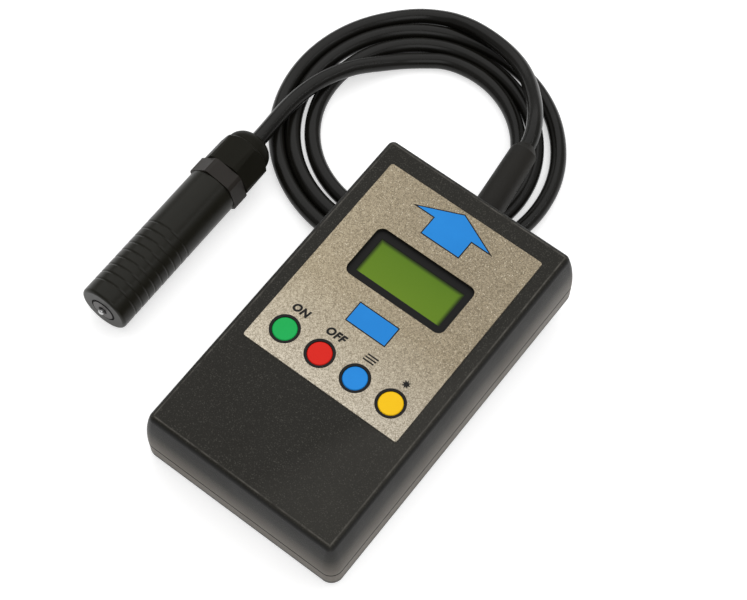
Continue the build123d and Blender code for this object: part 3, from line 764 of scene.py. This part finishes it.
key_x = [key_first + key_pitch * number for number in range(4)]
legend("legend_on", "ON", (key_x[0], legend_y))
legend("legend_off", "OFF", (key_x[1], legend_y))
for number in range(bar_count):
    up = bar_apart * (number - (bar_count - 1) / 2)
    middle = (key_x[2] + legend_slant * up, legend_y + up)
    bar = rounded(bar_long, bar_high, bar_corner, middle, steps=2)
    plate(f"legend_bar_{number + 1}", bar, 0, ink_depth, black_ink)
point = np.arange(2 * star_rays)
reach = np.where(point % 2 == 0, ray_long, ray_short)
around = point * pi / star_rays
star = np.column_stack([key_x[3] + reach * np.cos(around), legend_y + reach * np.sin(around)])
plate("legend_star", star, 0, ink_depth, black_ink)

# Display
# A character module behind the window: black metal frame, green glass with its polariser, its own
# board and the pin strip that carries it.
view_middle = (0.00025, 0.0278)
view_half = (0.0190, 0.00795)
edge_shadow = 0.0020
cloud_count = 60.0
cloud_share = 0.3
glass_roughness = 0.3
glass_shine = 0.1

display_black = grained(
    "display_black", (16, 15, 14), (20, 19, 18),
    sheen=0.45, dull=0.55, grains=1500.0, depth=0.00001, shine=0.15,
)
give_finish(display_black, "lcd_bezel")
lcd_panel = bare_material("lcd_panel")
tree, shader = inside(lcd_panel)
place = in_case(tree)
parts = split(tree, place)
up_view = spread(
    tree, parts["Y"], view_middle[1] - view_half[1], view_middle[1] + view_half[1]
)
tint = blended(tree, cloud_share, up_view, noise(tree, place, cloud_count, detail=1.0))
green_glass = two_tone(tree, tint, shade(103, 134, 34), shade(86, 120, 27))
# The window's edge shades both sides of the view and its upper end
past_side = reckon(tree, "SUBTRACT", distance_from(tree, parts["X"], view_middle[0]), view_half[0])
past_top = reckon(
    tree, "SUBTRACT", reckon(tree, "SUBTRACT", parts["Y"], view_middle[1]), view_half[1]
)
rim_shade = spread(tree, reckon(tree, "MAXIMUM", past_side, past_top), -edge_shadow, 0.0)
rim_shade.node.interpolation_type = "SMOOTHSTEP"
shaded_glass = two_tone(tree, rim_shade, green_glass, shade(34, 46, 14))
tree.links.new(shaded_glass, shader.inputs["Base Color"])
shader.inputs["Roughness"].default_value = glass_roughness
shader.inputs["Specular IOR Level"].default_value = glass_shine
give_finish(lcd_panel, "lcd_glass")

# Boards
# Glass-fibre board under green solder mask, with the controller in a black package, the pin strip
# and the four key switches with their plungers.
track_pitch = 0.0025
board_green = grained(
    "board_green", (22, 84, 48), (28, 94, 54),
    sheen=0.30, dull=0.42, grains=900.0, depth=0.00002,
)
tree, shader = inside(board_green)
tracks = tree.nodes.new("ShaderNodeTexBrick")
tracks.inputs["Scale"].default_value = 1.0
tracks.inputs["Brick Width"].default_value = 8 * track_pitch
tracks.inputs["Row Height"].default_value = track_pitch
tracks.inputs["Mortar Size"].default_value = track_pitch / 8
tree.links.new(in_case(tree), tracks.inputs["Vector"])
tracked = two_tone(tree, tracks.outputs["Fac"], fed_by(shader, "Base Color"), shade(62, 138, 84))
tree.links.new(tracked, shader.inputs["Base Color"])
give_finish(board_green, "main_board", "lcd_board")
package_black = grained(
    "package_black", (32, 32, 34), (40, 40, 42),
    sheen=0.45, dull=0.6, grains=4000.0, depth=0.00001,
)
give_finish(package_black, "controller_chip", "lcd_header")
plunger_plastic = grained(
    "plunger_plastic", (210, 206, 196), (222, 219, 210),
    sheen=0.35, dull=0.45, grains=1500.0, depth=0.00001,
)

# Keys
# Four round caps moulded in green, red, blue and yellow, each in a black collar of the upper shell.
# Each presses through its plunger on a switch of the board.
key_colours = {
    "green": ((20, 170, 80), (26, 178, 88)),
    "red": ((216, 30, 18), (222, 36, 24)),
    "blue": ((30, 134, 218), (36, 140, 224)),
    "yellow": ((246, 194, 8), (250, 200, 16)),
}
for colour, (low, high) in key_colours.items():
    cap = grained(
        f"key_{colour}", low, high,
        sheen=0.42, dull=0.5, grains=1800.0, depth=0.00002, shine=0.15,
    )
    give_finish(cap, f"key_{colour}")
    give_finish(plunger_plastic, f"plunger_{colour}")
    give_finish(package_black, f"switch_{colour}")

# Battery
# A nine-volt block in a plain printed steel jacket lies behind the door. The snap on its terminals
# is covered with black rubber.
battery_jacket = grained(
    "battery_jacket", (62, 66, 74), (84, 88, 96),
    sheen=0.25, dull=0.35, grains=500.0, depth=0.00002, metal=0.7,
)
give_finish(battery_jacket, "battery")
snap_rubber = grained(
    "snap_rubber", (30, 29, 28), (38, 36, 35),
    sheen=0.5, dull=0.65, grains=2000.0, depth=0.00003,
)
give_finish(snap_rubber, "battery_snap")

# Sleeve
# Soft black rubber, moulded in one piece and pressed through the end wall of the case, so that the
# cord doesn't kink there.
sleeve_rubber = grained(
    "sleeve_rubber", (24, 22, 18), (29, 27, 22),
    sheen=0.5, dull=0.6, grains=2200.0, depth=0.00003, shine=0.2,
)
give_finish(sleeve_rubber, "cord_sleeve")

# Gland
# Black polyamide: a hexagon screwed into the barrel, and a dome nut that presses a rubber seal on
# the cord.
gland_plastic = grained(
    "gland_plastic", (25, 24, 18), (30, 29, 23),
    sheen=0.44, dull=0.54, grains=2400.0, depth=0.00003, shine=0.06,
)
give_finish(gland_plastic, "gland_nut")
hexagon_plastic = grained(
    "hexagon_plastic", (36, 32, 28), (41, 37, 33),
    sheen=0.44, dull=0.54, grains=2400.0, depth=0.00003, shine=0.2,
)
give_finish(hexagon_plastic, "gland_body")
give_finish(snap_rubber, "gland_seal")

# Probe
# A turned barrel of black acetal with nine grip grooves. Its face carries a disc of the same
# plastic round the end of a steel core, with the copper winding behind.
probe_tip = (-0.0602, -0.0608, 0.0102282)
probe_along = (-0.020417, 0.999695, 0.013858)
insert_radius = 0.0050
core_socket = 0.0018
ring_half = 0.00035
ring_deep = 0.0008
ring_shade = (4, 4, 4)
wire_thick = 0.0003


def shade_rings(tree, shader):
    """Paints shade into the groove round the probe's insert, and into the socket round its core.

    A point's distance from the axis is the length of its offset from the tip crossed with the axis;
    its depth behind the face is the same offset's product with the axis."""
    def along_axis(operation, offset):
        node = tree.nodes.new("ShaderNodeVectorMath")
        node.operation = operation
        node.inputs[1].default_value = probe_along
        tree.links.new(offset, node.inputs[0])
        return node.outputs

    offset = tree.nodes.new("ShaderNodeVectorMath")
    offset.operation = "SUBTRACT"
    offset.inputs[1].default_value = probe_tip
    tree.links.new(object_place(tree), offset.inputs[0])
    away = tree.nodes.new("ShaderNodeVectorMath")
    away.operation = "LENGTH"
    crossed = along_axis("CROSS_PRODUCT", offset.outputs["Vector"])["Vector"]
    tree.links.new(crossed, away.inputs[0])
    behind = along_axis("DOT_PRODUCT", offset.outputs["Vector"])["Value"]
    from_ring = distance_from(tree, away.outputs["Value"], insert_radius)
    groove = spread(tree, from_ring, ring_half, 1.5 * ring_half, 1, 0)
    socket = spread(tree, away.outputs["Value"], core_socket, core_socket + ring_half, 1, 0)
    near_face = reckon(tree, "LESS_THAN", behind, ring_deep)
    # Painted shade in the groove and the socket, near the face
    recess_shade = reckon(tree, "MULTIPLY", reckon(tree, "MAXIMUM", groove, socket), near_face)
    darkened = two_tone(tree, recess_shade, fed_by(shader, "Base Color"), shade(*ring_shade))
    tree.links.new(darkened, shader.inputs["Base Color"])
    dulled = reckon(tree, "MAXIMUM", fed_by(shader, "Roughness"), recess_shade)
    tree.links.new(dulled, shader.inputs["Roughness"])


probe_plastic = grained(
    "probe_plastic", (27, 26, 20), (32, 31, 25),
    sheen=0.30, dull=0.38, grains=1200.0, depth=0.000006, shine=0.16,
)
shade_rings(*inside(probe_plastic))
give_finish(probe_plastic, "probe_barrel")
face_plastic = grained(
    "face_plastic", (56, 52, 50), (66, 62, 59),
    sheen=0.42, dull=0.5, grains=2000.0, depth=0.00002,
)
shade_rings(*inside(face_plastic))
give_finish(face_plastic, "probe_insert")
core_steel = grained(
    "core_steel", (176, 176, 176), (200, 200, 200),
    sheen=0.18, dull=0.3, grains=2500.0, depth=0.00001, metal=1.0,
)
give_finish(core_steel, "probe_core")
winding_copper = grained(
    "winding_copper", (176, 98, 56), (200, 120, 72),
    sheen=0.25, dull=0.35, grains=2500.0, depth=0.00003, metal=1.0,
)
tree, shader = inside(winding_copper)
add_ridges(tree, shader, split(tree, object_place(tree))["Y"], wire_thick, wire_thick / 3)
give_finish(winding_copper, "probe_winding")
